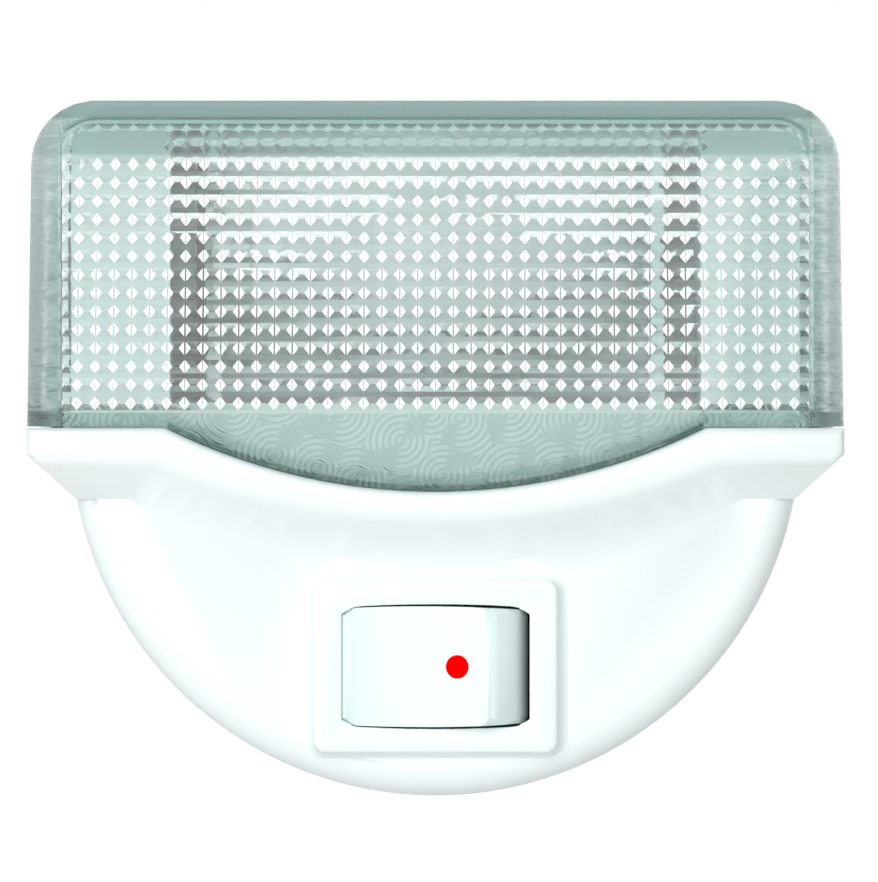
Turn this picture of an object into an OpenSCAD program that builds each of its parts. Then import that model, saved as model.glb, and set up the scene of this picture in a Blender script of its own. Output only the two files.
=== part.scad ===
// Plug-in night light with a wide prismatic lens and a rocker switch.
// Millimetres. X to the right, Y towards the wall, Z up. The origin is between the plug blades,
// on the face that lies against the wall, so the light faces -Y.

/* [Overall] */
// Depth from the wall face to the front of the lip
body_depth = 31; // [30:0.5:36]
// Height of the top of the lip above the middle of the plug
lip_top = 9; // [8:0.25:10]

/* [Lip] */
// Width across the lip
lip_w = 71.8; // [70:0.1:80]
// Height of the upright front of the lip, at its ends
lip_h = 3.05; // [2.5:0.05:4]
// Height of the slope under the lip, at its ends
slope_h = 3.2; // [2.6:0.1:4.5]
// How far the slope leads back from the lip to the bowl
slope_depth = 4; // [3:0.1:5]
// How far the slope draws in at each side
slope_inset = 4.25; // [3.5:0.05:5.5]
// How much higher the slope starts on the sides than on the front
side_slope_rise = 0.75; // [0.5:0.05:1]
// Radius of the dip in the lower edge of the lip
dip_r = 64; // [60:0.5:70]
// Depth of that dip at the middle
dip_depth = 4.95; // [4:0.05:5.5]
// How far the slope reaches down from the dip
dip_slope = 3.95; // [3:0.05:4.5]
// Radius of the scoop in the top edge of the lip
scoop_r = 53.2; // [50:0.1:60]
// Depth of the scoop at the middle
scoop_depth = 5.6; // [4.5:0.05:6]

/* [Bowl] */
// Radius of the bowl
bowl_r = 32.25; // [31.5:0.05:34]
// Centre of the bowl below the top of the lip
bowl_drop = 0.2; // [0:0.1:1]
// Radius of the bowl's front edge
bowl_edge_r = 2.4; // [2:0.1:3]
// Wall of the cover and of the rear housing
case_wall = 1.8; // [1.5:0.1:2.1]
// Thickness of the plate that lies against the wall
plate_t = 2; // [1.6:0.1:2.4]
// Distance of the joint between the two shells from the wall
parting = 11; // [9:0.5:12]
// Gap left in the joint between the two shells
parting_gap = 0.12; // [0.05:0.01:0.25]

/* [Lens] */
// How far the lens stands out past the lip at each side
lens_proud = 0.05; // [0:0.05:0.5]
// How much each side leans in towards the top
lens_taper = 0.35; // [0:0.05:0.8]
// Height of the lens above the lip
lens_h = 28.8; // [27:0.1:36]
// Radius of the upper corners, seen from the front
lens_corner_r = 5.7; // [4:0.1:7]
// Radius of the upright edges at the front
lens_edge_r = 3; // [2.2:0.1:4]
// Radius of the curve that leans the front back below the top
brow_r = 12; // [9:0.5:16]
// Height of that curve
brow_h = 6; // [4:0.5:7]
// Wall of the lens
lens_wall = 1.6; // [1.3:0.05:1.7]
// Wall of the skirt that stands inside the lip
skirt_wall = 1.1; // [0.9:0.05:1.2]
// How far the skirt reaches down inside the lip
skirt_depth = 1.5; // [1:0.05:1.6]
// Height of the thick band that joins the wall to the skirt
foot_band = 1.6; // [1.2:0.1:2.4]
// Chamfer at the foot of the lens
foot_chamfer = 0.75; // [0.4:0.05:1]
// Gap between the foot of the lens and the lip
foot_gap = 0.15; // [0.1:0.01:0.3]
// Gap between the skirt and the inside of the lip
skirt_gap = 0.3; // [0.2:0.01:0.4]
// Gap between the lens and the wall plate
lens_back_gap = 0.3; // [0.2:0.01:0.5]

/* [Switch pad] */
// Width of the raised pad
pad_w = 21.5; // [21:0.1:24]
// Height of the raised pad
pad_h = 15.2; // [14.5:0.1:16]
// How far the pad stands out from the bowl
pad_rise = 1.3; // [0.8:0.05:1.6]
// Radius of the pad's corners
pad_r = 1.1; // [0.6:0.1:2]
// Height of the pad's middle above the lowest point of the bowl
pad_above = 11.45; // [11.2:0.05:12]

/* [Rocker] */
// Length of the rocker at the face of the pad
rocker_l = 15.9; // [15.5:0.1:16.5]
// Height of the rocker at its middle
rocker_h = 10.6; // [10.2:0.1:11]
// How much the long edges bulge
rocker_bulge = 0.3; // [0.1:0.05:0.5]
// Corner radius of the rocker, seen from the front
rocker_corner_r = 1; // [0.6:0.1:1.4]
// Chamfer at the corners of the rocker's ends
rocker_chamfer = 0.8; // [0.5:0.1:1.2]
// Depth of the rocker's pins behind the face of the pad
pivot_depth = 8.95; // [8.7:0.05:9.2]
// Tilt of the rocker to either side of its middle
rocker_tilt = 8.75; // [7:0.05:9]
// Hollow of the rocker's face at its middle
face_hollow = 0.8; // [0.4:0.05:1.2]
// Half-length of the rocker's broad part inside the switch
rocker_skirt = 9.05; // [8.6:0.05:9.3]
// Distance of the broad part's underside from the pins
skirt_above_pin = 5.2; // [4.8:0.1:5.6]
// Gap round the rocker in its opening
rocker_gap = 0.2; // [0.15:0.01:0.35]
// Diameter of the rocker's pins
pin_d = 2.4; // [2:0.1:2.8]
// Running clearance of the pins, on the radius
pin_fit = 0.05; // [0.02:0.01:0.1]
// Diameter of the red dot
dot_d = 2.1; // [1.6:0.1:2.8]
// Distance of the dot from the middle of the rocker
dot_x = 3.4; // [2.6:0.1:3.8]
// Depth that the dot is set in
dot_t = 0.5; // [0.3:0.1:0.8]

/* [Switch] */
// Room between the ends of the rocker's broad part and the switch frame
rocker_end_room = 1.1; // [1:0.05:1.3]
// Room between the sides of the rocker and the switch frame
rocker_side_room = 0.5; // [0.3:0.05:0.6]
// Wall of the switch frame
frame_wall = 1.2; // [1:0.05:1.25]
// Distance of the contact plate's pivot behind the rocker's pins
plate_pivot = 4.05; // [4:0.05:4.3]
// Tilt of the contact plate to either side of its middle
plate_tilt = 10; // [8:0.5:10]
// Length of the contact plate
plate_l = 12.4; // [12:0.1:13]
// Height of the contact plate
plate_h = 5; // [4:0.1:6]
// Thickness of the contact plate
contact_t = 0.6; // [0.5:0.05:0.7]
// Diameter of the sprung plunger
plunger_d = 2.4; // [2:0.1:2.6]
// Length of the plunger
plunger_l = 4.6; // [4.2:0.1:5]
// Gap between the plunger's tip and the plate when both stand level
plunger_gap = 0.1; // [0.05:0.01:0.2]
// Wire of the plunger's spring
spring_wire = 0.3; // [0.2:0.05:0.35]
// Gap left between a moving contact and what it meets
contact_gap = 0.05; // [0.03:0.01:0.1]
// How far the terminals stand out behind the switch frame
tail_l = 2.4; // [2.2:0.1:3.4]

/* [Plug] */
// Distance between the middles of the blades
blade_pitch = 12.7; // [12.5:0.1:12.9]
// Thickness of a blade
blade_t = 1.5; // [1.4:0.01:1.6]
// Length of the blades outside the wall face
blade_l = 17; // [15.9:0.1:18.3]
// Width of the hot blade
hot_w = 6.35; // [6.2:0.05:6.5]
// Width of the neutral blade
neutral_w = 7.95; // [7.7:0.05:8.1]
// Diameter of the hole in a blade
blade_hole_d = 3.1; // [3:0.05:3.3]
// Distance of that hole from the wall face
blade_hole_y = 11.7; // [11:0.1:12.2]
// Length of the foot of a blade inside the housing
blade_foot = 5; // [4.5:0.1:5.5]
// How far the tip of a blade narrows
blade_tip = 1.6; // [1:0.1:2]

/* [Bulb] */
// Diameter of the bulb
bulb_d = 22.2; // [19:0.1:24]
// Length of the bulb with its base
bulb_l = 49.5; // [46:0.5:54]
// Diameter of the threaded base
base_d = 11.8; // [11.4:0.1:12]
// Length of the threaded base
base_l = 12.4; // [11.8:0.1:13]
// Thickness of the glass
glass_t = 0.7; // [0.5:0.05:0.9]
// Height of the glass stem that holds the lead wires
stem_l = 9; // [7:0.5:10]
// Distance of the filament from the foot of the stem
filament_at = 16; // [14:0.5:18]
// Length of the filament
filament_l = 10; // [8:0.5:12]
// Distance between the lead wires where they leave the stem
lead_pitch = 2.1; // [1.6:0.1:2.6]

/* [Reflector] */
// Thickness of the reflector's walls
tray_t = 1.3; // [1:0.1:1.4]
// Gap between the tip of the bulb and the right end of the lamp chamber
tip_room = 0.6; // [0.4:0.1:1]
// Gap between the socket and the left end of the lamp chamber
wall_room = 0.9; // [0.5:0.1:1.2]
// Width of the slot between the chamber and the end block
slot_w = 3; // [2.5:0.1:3.2]
// Depth of the lamp chamber's end walls
chamber_depth = 17; // [15:0.5:18]
// Gap between the front of the end blocks and the socket body
block_gap = 0.3; // [0.2:0.05:0.6]
// How far the front of the end blocks reaches down behind the lip
block_skirt = 1.5; // [0.5:0.5:2.5]
// Height of the tray's floor above the top of the lip
floor_rise = 0.8; // [0.6:0.1:1.2]
// Room left round the bulb's base where it passes the walls
neck_room = 2; // [1.2:0.1:2.4]
// Gap between the ends of the tray and the skirt of the lens
tray_gap = 0.6; // [0.4:0.1:1]
// Gap between the top of the tray and the lens
tray_top_gap = 1.2; // [0.8:0.1:2]

/* [Lamp socket] */
// Gap between the end of the socket body and the wall of the lens
socket_end_gap = 1.9; // [1:0.1:2.4]
// Outside diameter of the socket body
socket_d = 17; // [16:0.1:18]
// Wall of the threaded sleeve
sleeve_t = 0.5; // [0.4:0.05:0.6]
// Running clearance of the bulb's base in the sleeve, on the radius
base_fit = 0.08; // [0.03:0.01:0.1]
// Length of the threaded sleeve
sleeve_l = 6.5; // [6:0.1:7]
// Thickness of the sheet metal strips
strip_t = 0.6; // [0.5:0.05:0.7]
// Width of the sheet metal strips
strip_w = 4; // [3.4:0.1:4.4]
// Width of the tongue that reaches up to the sleeve
tongue_w = 3; // [2.4:0.1:3]
// Gap round the socket body where the end block holds it
socket_gap = 0.1; // [0.05:0.01:0.2]

/* [Fasteners] */
// Distance of each case screw from the middle
screw_x = 20; // [19:0.5:21]
// Height of the case screws below the middle of the plug
screw_drop = 6; // [5:0.5:7]
// Diameter of the screw's thread
screw_d = 2.6; // [2.2:0.1:3]
// Diameter of the screw's head
screw_head_d = 5; // [4.6:0.1:5.4]
// Outside diameter of a screw post
post_d = 6.4; // [6:0.1:7]

/* [Hidden] */
$fn = 64;

// A cut reaches this far past the face that it opens.
past = 1;
// Share of a wall by which a corner of 45 degrees moves when the wall is inset.
mitre = tan(22.5);

// Planes of the case, seen from the side
front_y = -body_depth;
bowl_y = front_y + slope_depth;
pad_y = bowl_y - pad_rise;
plate_y = -plate_t;
lip_low = lip_top - lip_h;
join_z = lip_low - slope_h;
bowl_z = lip_top - bowl_drop;
dip_z = lip_low - dip_depth + dip_r;
scoop_z = lip_top - scoop_depth + scoop_r;

// Lens
lens_w = lip_w + 2 * lens_proud;
lens_top = lip_top + lens_h;
skirt_in = case_wall + skirt_gap;
skirt_out = skirt_in + skirt_wall;
lens_back = plate_y - lens_back_gap;
lens_low = lip_top - scoop_depth - skirt_depth - past;

// Rocker: its ends lie on a circle about its pins, so the gap stays the same as it tilts.
pivot_y = pad_y + pivot_depth;
pad_z = bowl_z - bowl_r + pad_above;
rocker_r = norm([rocker_l / 2, pivot_depth]);
crest_a = atan2(rocker_l / 2, pivot_depth) - rocker_tilt;
crest_x = rocker_r * sin(crest_a);
crest_h = rocker_r * cos(crest_a);
face_r = (crest_x * crest_x + face_hollow * face_hollow) / (2 * face_hollow);
face_h = crest_h - face_hollow + face_r;
rocker_in_h = rocker_h / 2 + rocker_gap;
boss_wall = 1.2;
boss_half = plunger_d / 2 + boss_wall;
boss_end = pin_d / 2;
bore_top = 6;
frame_in_l = 2 * (rocker_skirt + rocker_end_room);
frame_in_h = rocker_h + 2 * rocker_side_room;

// Switch metal
plate_y0 = pivot_y + plate_pivot;
button_t = 0.3;
button_d = 1.8;
button_over = 0.2;
button_x = plate_l / 2 - button_d / 2 + button_over;
// The plunger's tip stands this far from the pins.
tip_reach = plate_pivot - contact_t / 2 - plunger_gap;
fulcrum_r = 0.4;
fulcrum_y = plate_y0 + contact_t / 2 + contact_gap + fulcrum_r;
// Where the pressed button's crown comes to, and the fixed contact below it
button_reach = button_x * sin(plate_tilt) + (contact_t / 2 + button_t) * cos(plate_tilt)
    + button_d / 2 * sin(plate_tilt);
fixed_y = plate_y0 + button_reach + contact_gap;
fixed_t = 0.3;
frame_back = fixed_y + fixed_t;
frame_front = bowl_y + case_wall;
frame_end = frame_back + frame_wall;
tail_end = frame_end + tail_l;
// The strips meet the terminals this far behind the frame.
tail_gap = 0.6;

// Blades and strips
blade_x = blade_pitch / 2;
foot_t = blade_t;
strip_y = plate_y - foot_t - strip_t;
slot_room = 0.1;
rivet_d = 1.8;
rivet_head_d = 3;
rivet_head_t = 0.5;
rivet_shift = 0.4;
foot_mid = blade_x + blade_t / 2 + blade_foot / 2 + rivet_shift;
// The barrier lies in front of the rivets and rests on four pegs.
barrier_t = 0.8;
barrier_gap = 0.6;
barrier_y = strip_y - rivet_head_t - barrier_gap - barrier_t;
barrier_h = 11;
barrier_r = 1.5;
// The pegs stand beyond the feet of the blades, and the barrier reaches past them by its rim.
peg_d = 3;
peg_gap = 0.4;
peg_x = blade_x + blade_t / 2 + blade_foot + peg_gap + peg_d / 2;
peg_z = 3.3;
barrier_rim = 2;
barrier_w = 2 * (peg_x + barrier_rim);

// Reflector tray and its floor
tray_back = plate_y - tray_t;
tray_half = lip_w / 2 - skirt_out - tray_gap;
tray_top = lens_top - lens_wall - tray_top_gap;
floor_z = lip_top + floor_rise;

// Socket end, which sets where the bulb stands
leaf_t = 0.5;
socket_end_t = 0.9;
socket_x0 = lens_wall + socket_end_gap - lens_w / 2;
leaf_x = socket_x0 + socket_end_t;

// Bulb, with its axis along X and its base at the left, in the middle of the room inside the lens
bulb_y = (front_y + lens_wall + tray_back) / 2;
bulb_z = (floor_z + tray_t + lens_top - lens_wall) / 2;
bulb_end = leaf_x + leaf_t + contact_gap;
bulb_tip = bulb_end + bulb_l;
tip_contact_t = 1;
tip_contact_r = 2.2;
base_tip_l = 2.2;
shell_x0 = bulb_end + base_tip_l;
shell_x1 = shell_x0 + base_l;
shell_t = 0.5;
neck_step = 0.9;
neck_r = base_d / 2 - neck_step;
thread_pitch = 2.1;
thread_deep = 0.5;
// Radius of the glass at shares of the way from the rim of the base to the tip
glass_steps = 18;
glass_seat = 1.6;
glass_x0 = shell_x1 - glass_seat;
glass_len = bulb_tip - shell_x1;
belly_at = 0.42;
function belly(s) = s < belly_at
    ? neck_r + (bulb_d / 2 - neck_r) * (1 - cos(180 * s / belly_at)) / 2
    : bulb_d / 2 * pow(max(0, 1 - pow((s - belly_at) / (1 - belly_at), 2)), 0.6);
function glass_x(i) = shell_x1 + glass_len * (1 - pow(1 - i / glass_steps, 1.5));
function glass_r(i, t) = max(0, belly((glass_x(i) - shell_x1) / glass_len) - t);

// Filament on its two lead wires
filament_x = glass_x0 + filament_at;
filament_r = 0.25;
lead_r = 0.2;
lead_run = 2;
stem_foot_t = 1.2;

// Rest of the socket
sleeve_in = base_d / 2 + base_fit;
sleeve_out = sleeve_in + sleeve_t;
sleeve_lag = 0.4;
sleeve_x0 = shell_x0 + sleeve_lag;
sleeve_x1 = sleeve_x0 + sleeve_l;
socket_rim = 0.6;
socket_x1 = sleeve_x1 + socket_rim;
socket_foot = 6;
tongue_in = 0.3;
tongue_x = sleeve_x0 + tongue_in + tongue_w / 2;
// The strips to the socket cross over just under the tray's floor.
under_floor = 0.8;
run_z = floor_z - under_floor - strip_w;
// The leaf under the bulb's tip leaves the socket and meets the lamp strip this far below it.
leaf_drop = 2.4;
leaf_z = bulb_z - socket_d / 2 - leaf_drop;
leaf_rim = 1;

// Lamp chamber, end blocks and apron of the tray
chamber_left = -(socket_x1 + wall_room + tray_t);
chamber_right = bulb_tip + tip_room;
block_left = chamber_left + tray_t + slot_w;
block_right = chamber_right + tray_t + slot_w;
block_y = bulb_y - socket_d / 2 - block_gap;
neck_cut_r = base_d / 2 + neck_room;
apron_gap = 0.5;
apron_y = front_y + skirt_out + apron_gap;
// The apron reaches this far below the edge of the scoop.
apron_drop = 1;

// Fasteners
screw_z = -screw_drop;
screw_head_t = 1.4;
screw_room = 0.2;
head_sink = 0.3;
pilot_len = 9;
recess_half = 1.4;
recess_deep = 0.8;
recess_w = 0.7;

// A box from one corner to the other
module block(low, high) {
    translate(low)
        cube(high - low);
}

// An outline seen from the front, made solid between two depths
module along_y(y0, y1) {
    translate([0, y1, 0])
        rotate([90, 0, 0])
            linear_extrude(y1 - y0)
                children();
}

// An outline seen from the side (depth, height), made solid between two places along X
module along_x(x0, x1) {
    translate([x0, 0, 0])
        rotate([90, 0, 90])
            linear_extrude(x1 - x0)
                children();
}

// A disc with its axis along Y
module disc_y(r, y0, y1) {
    along_y(y0, y1)
        circle(r);
}

// A rod with its axis along X
module disc_x(r, x0, x1) {
    along_x(x0, x1)
        circle(r);
}

// A rectangle about the origin with round corners
module round_rect(w, h, r) {
    square([w - 2 * r, h], center = true);
    square([w, h - 2 * r], center = true);
    for (sx = [-1, 1], sy = [-1, 1])
        translate([sx * (w / 2 - r), sy * (h / 2 - r)])
            circle(r);
}

// Upright cylinder about the origin whose rims are chamfered
module drum(r, h, chamfer) {
    rotate_extrude($fn = 128)
        polygon([
            [0, -h / 2],
            [r - chamfer, -h / 2],
            [r, chamfer - h / 2],
            [r, h / 2 - chamfer],
            [r - chamfer, h / 2],
            [0, h / 2]
        ]);
}

// Rectangle whose long edges bulge by b
module barrel(w, h, b, r) {
    bulge_r = (w * w / 4 + b * b) / (2 * b);
    intersection() {
        round_rect(w, h, r);
        translate([0, h / 2 - bulge_r])
            circle(bulge_r, $fn = 256);
        translate([0, bulge_r - h / 2])
            circle(bulge_r, $fn = 256);
    }
}

// ---- Case ----

// Case seen from the front, inset by t: the bowl, and the lip that flares out above it
module case_outline(t) {
    half = lip_w / 2 - t;
    intersection() {
        translate([0, bowl_z])
            circle(bowl_r - t, $fn = 256);
        translate([-bowl_r, lip_top - 2 * bowl_r])
            square([2 * bowl_r, 2 * bowl_r]);
    }
    polygon([
        [-half, lip_top],
        [-half, lip_low + side_slope_rise + mitre * t],
        [-half + slope_inset, join_z + mitre * t],
        [half - slope_inset, join_z + mitre * t],
        [half, lip_low + side_slope_rise + mitre * t],
        [half, lip_top]
    ]);
}

// Lip and slope seen from the side, inset by t
module lip_profile(t) {
    polygon([
        [front_y + t, lip_top],
        [front_y + t, lip_low + mitre * t],
        [bowl_y + t, join_z + mitre * t],
        [0, join_z + mitre * t],
        [0, lip_top]
    ]);
}

// Turned front of the bowl, with its round edge, inset by t
module bowl_form(t) {
    r = bowl_r - t;
    edge = bowl_edge_r - t;
    deep = -bowl_y - t;
    intersection() {
        translate([0, 0, bowl_z])
            rotate([90, 0, 0])
                rotate_extrude($fn = 256) {
                    square([r - edge, deep]);
                    square([r, deep - edge]);
                    translate([r - edge, deep - edge])
                        intersection() {
                            circle(edge);
                            square(edge);
                        }
                }
        block([-bowl_r, front_y, lip_top - 2 * bowl_r], [bowl_r, 0, lip_top]);
    }
}

// Lip that dips at the middle: a cone about the dip's centre
module dip_form(t) {
    r = dip_r - mitre * t;
    intersection() {
        translate([0, bowl_y + t, dip_z])
            rotate([90, 0, 0])
                cylinder(h = slope_depth, r1 = r + dip_slope, r2 = r, $fn = 256);
        block([t - lip_w / 2 + slope_inset, front_y + t, join_z - 2 * dip_r],
            [lip_w / 2 - slope_inset - t, bowl_y + t, lip_top]);
    }
}

// Outside of the whole case, inset by t and closed at the top of the lip
module case_form(t) {
    bowl_form(t);
    dip_form(t);
    intersection() {
        along_y(front_y + t, 0)
            case_outline(t);
        along_x(-lip_w / 2, lip_w / 2)
            lip_profile(t);
    }
    intersection() {
        along_y(bowl_y + bowl_edge_r, 0)
            case_outline(t);
        block([-lip_w, bowl_y + bowl_edge_r, lip_top - 2 * bowl_r], [lip_w, 0, lip_top]);
    }
}

// Posts that the case screws run into
module at_screws() {
    for (side = [-1, 1])
        translate([side * screw_x, 0, screw_z])
            children();
}

// Opening for the rocker: its ends follow the circle that the rocker's ends move on.
module rocker_opening() {
    intersection() {
        translate([0, pivot_y, pad_z])
            drum(rocker_r + rocker_gap, 2 * rocker_in_h, rocker_chamfer + rocker_gap / 2);
        along_y(pad_y - past, frame_front + past)
            translate([0, pad_z])
                barrel(2 * rocker_r, 2 * rocker_in_h, rocker_bulge * 2, rocker_corner_r);
    }
}

module front_cover() {
    color("white")
        difference() {
            union() {
                difference() {
                    case_form(0);
                    case_form(case_wall);
                    // Scoop in the front of the lip
                    translate([0, 0, scoop_z])
                        disc_y(scoop_r, front_y - past, front_y + case_wall + past);
                    // Open top
                    translate([0, 0, lip_top])
                        along_y(front_y + case_wall, 0)
                            square([lip_w - 2 * case_wall, 2 * past], center = true);
                }
                along_y(pad_y, bowl_y + past)
                    translate([0, pad_z])
                        round_rect(pad_w, pad_h, pad_r);
                at_screws()
                    disc_y(post_d / 2, frame_front, -parting - parting_gap / 2);
            }
            rocker_opening();
            at_screws()
                disc_y(screw_d / 2, -parting - pilot_len, -parting + past);
            block([-lip_w, -parting - parting_gap / 2, -2 * bowl_r], [lip_w, past, lens_top]);
        }
}

module back_housing() {
    color("whitesmoke")
        difference() {
            union() {
                difference() {
                    intersection() {
                        case_form(0);
                        block([-lip_w, parting_gap / 2 - parting, -2 * bowl_r], [lip_w, 0, lens_top]);
                    }
                    intersection() {
                        case_form(case_wall);
                        block([-lip_w, -parting - past, -2 * bowl_r], [lip_w, plate_y, lens_top]);
                    }
                    translate([0, 0, lip_top])
                        along_y(-parting - past, plate_y)
                            square([lip_w - 2 * case_wall, 2 * past], center = true);
                }
                // Plate behind the lens
                along_y(plate_y, 0)
                    lens_front(0, lip_top - past);
                at_screws()
                    disc_y(post_d / 2, parting_gap / 2 - parting, plate_y + past / 2);
                // Pegs under the barrier
                for (sx = [-1, 1], sz = [-1, 1])
                    translate([sx * peg_x, 0, sz * peg_z])
                        disc_y(peg_d / 2, barrier_y + barrier_t, plate_y + past / 2);
            }
            blade_slot(-blade_x, neutral_w);
            blade_slot(blade_x, hot_w);
            at_screws() {
                disc_y(screw_d / 2 + screw_room, -parting - past, past);
                disc_y(screw_head_d / 2 + screw_room, -screw_head_t - head_sink, past);
            }
        }
}

module blade_slot(x, w) {
    block([x - blade_t / 2 - slot_room, plate_y - past, -w / 2 - slot_room],
        [x + blade_t / 2 + slot_room, past, w / 2 + slot_room]);
}

module case_screws() {
    color("silver")
        at_screws()
            difference() {
                union() {
                    disc_y(screw_d / 2, -parting - pilot_len + past, -screw_head_t);
                    disc_y(screw_head_d / 2, -screw_head_t - head_sink, -head_sink);
                }
                // Cross recess
                for (turn = [0, 90])
                    rotate([0, turn, 0])
                        block([-recess_half, -head_sink - recess_deep, -recess_w / 2],
                            [recess_half, past, recess_w / 2]);
            }
}

// ---- Lens ----

// Lens seen from the front, inset by t and reaching down to the height low
module lens_front(t, low) {
    foot = lens_w / 2 - t;
    head = foot - lens_taper;
    top = lens_top - t;
    r = lens_corner_r - t;
    polygon([
        [-foot, low],
        [-foot, lip_top],
        [-head, top - r],
        [head, top - r],
        [foot, lip_top],
        [foot, low]
    ]);
    translate([r - head, top - r - past])
        square([2 * (head - r), r + past]);
    for (side = [-1, 1])
        translate([side * (head - r), top - r])
            circle(r);
}

// Lens seen from the side, inset by t: upright, then leaning back under the top
module lens_side(t) {
    brow_z = lens_top - brow_h;
    r = brow_r - t;
    polygon([
        [front_y + t, -bowl_r],
        [front_y + t, brow_z],
        [lens_back, brow_z],
        [lens_back, -bowl_r]
    ]);
    intersection() {
        union() {
            translate([front_y + brow_r, brow_z])
                circle(r);
            translate([front_y + brow_r, brow_z])
                square([lens_back - front_y - brow_r, brow_h]);
        }
        translate([front_y, brow_z - past])
            square([lens_back - front_y, brow_h + past - t]);
    }
}

// Lens seen from above, inset by t, with round front corners
module lens_plan(t) {
    half = lens_w / 2 - t;
    r = lens_edge_r - t / 2;
    translate([r - half, front_y + t])
        square([2 * (half - r), r + past]);
    translate([-half, front_y + t + r])
        square([2 * half, lens_back - front_y - t - r]);
    for (side = [-1, 1])
        translate([side * (half - r), front_y + t + r])
            circle(r);
}

// Solid lens, inset by t
module lens_form(t) {
    intersection() {
        along_y(front_y, lens_back)
            lens_front(t, lens_low);
        along_x(-lens_w / 2, lens_w / 2)
            lens_side(t);
        translate([0, 0, lens_low])
            linear_extrude(lens_top - lens_low)
                lens_plan(t);
    }
}

// All that lies above the foot of the lens, moved down by drop: level ends and the scoop between
module above_foot(drop) {
    block([-lens_w, front_y - past, lip_top - drop], [lens_w, past, lens_top + past]);
    translate([0, 0, scoop_z])
        disc_y(scoop_r + drop, front_y - past, front_y + skirt_out + past / 2);
}

module lens() {
    chamfer_side = foot_chamfer * sqrt(2);
    color("powderblue", 0.5)
        difference() {
            union() {
                // Outer wall
                difference() {
                    intersection() {
                        lens_form(0);
                        above_foot(-foot_gap);
                    }
                    lens_form(lens_wall);
                }
                // Thick band above the foot
                difference() {
                    intersection() {
                        lens_form(lens_wall / 2);
                        above_foot(-foot_gap);
                    }
                    above_foot(-foot_band);
                    lens_form(skirt_out);
                }
                // Skirt inside the lip
                difference() {
                    intersection() {
                        lens_form(skirt_in);
                        above_foot(skirt_depth);
                    }
                    above_foot(-foot_band);
                    lens_form(skirt_out);
                }
            }
            // Chamfer at the sides of the foot
            for (side = [-1, 1])
                translate([side * lens_w / 2, front_y - past, lip_top + foot_gap])
                    rotate([0, 45, 0])
                        cube([chamfer_side, 3 * body_depth, chamfer_side], center = true);
        }
}

// ---- Reflector ----

module reflector() {
    color("white")
        difference() {
            union() {
                // Back sheet
                block([-tray_half, tray_back, floor_z], [tray_half, plate_y, tray_top]);
                // Floor of the lamp chamber and its slots
                block([-block_left, apron_y, floor_z], [block_right, tray_back, floor_z + tray_t]);
                // Apron behind the scoop of the lens
                intersection() {
                    block([-block_left, apron_y, lip_top - scoop_depth - apron_drop],
                        [block_right, apron_y + tray_t, floor_z + tray_t]);
                    translate([0, 0, scoop_z])
                        disc_y(scoop_r + apron_drop, front_y, 0);
                }
                tray_end(chamber_right);
                mirror([1, 0, 0])
                    tray_end(chamber_left);
            }
            on_lamp_axis() {
                // Way through the walls for the bulb's base, open at the front of the chamber's wall
                disc_x(neck_cut_r, -tray_half, 0);
                block([-chamber_left - tray_t - slot_w / 2, -body_depth / 2, past - neck_cut_r],
                    [0, 0, neck_cut_r - past]);
                // Seat of the socket body and its foot
                disc_x(socket_d / 2 + socket_gap, -tray_half, socket_x1 + socket_gap);
                block([-tray_half - past, 0, -socket_foot / 2 - socket_gap],
                    [socket_x1 + socket_gap, tray_back - bulb_y, socket_foot / 2 + socket_gap]);
            }
        }
}

// End wall of the chamber, and the end block beyond the slot
module tray_end(wall_x) {
    block_x = wall_x + tray_t + slot_w;
    block([wall_x, -chamber_depth - tray_t, floor_z], [wall_x + tray_t, tray_back, tray_top]);
    block([block_x, block_y - tray_t, floor_z], [block_x + tray_t, tray_back, tray_top]);
    block([block_x, block_y - tray_t, lip_top - block_skirt], [tray_half, block_y, tray_top]);
}

// ---- Rocker switch ----

// Places what is drawn about the rocker's pins; the left end is pressed at rest.
module on_rocker() {
    translate([0, pivot_y, pad_z])
        rotate([0, 0, -rocker_tilt])
            children();
}

module rocker() {
    color("white")
        on_rocker()
            difference() {
                union() {
                    intersection() {
                        union() {
                            difference() {
                                drum(rocker_r, rocker_h, rocker_chamfer);
                                translate([0, -face_h, -rocker_h])
                                    cylinder(h = 2 * rocker_h, r = face_r, $fn = 128);
                                block([-rocker_r, -skirt_above_pin, -rocker_h],
                                    [rocker_r, rocker_r, rocker_h]);
                            }
                            block([-boss_half, -skirt_above_pin, -rocker_h / 2],
                                [boss_half, boss_end, rocker_h / 2]);
                        }
                        along_y(-rocker_r, rocker_r)
                            barrel(2 * rocker_skirt, rocker_h, rocker_bulge, rocker_corner_r);
                    }
                    cylinder(h = frame_in_h + frame_wall, r = pin_d / 2, center = true);
                }
                disc_y(plunger_d / 2 + pin_fit, -bore_top, boss_end + past);
                dot_pocket(dot_d / 2);
            }
}

// Round place of the dot, square to the face where it sits
module dot_pocket(r) {
    lean = asin(dot_x / face_r);
    translate([dot_x, -face_h + face_r * cos(lean), 0])
        rotate([0, 0, -lean])
            disc_y(r, -past, dot_t);
}

module rocker_dot() {
    color("red")
        on_rocker()
            difference() {
                dot_pocket(dot_d / 2);
                translate([0, -face_h, -rocker_h])
                    cylinder(h = 2 * rocker_h, r = face_r, $fn = 128);
            }
}

module plunger() {
    r = plunger_d / 2;
    color("burlywood")
        on_rocker() {
            disc_y(r, tip_reach - plunger_l, tip_reach - r);
            translate([0, tip_reach - r, 0])
                sphere(r);
        }
}

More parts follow.
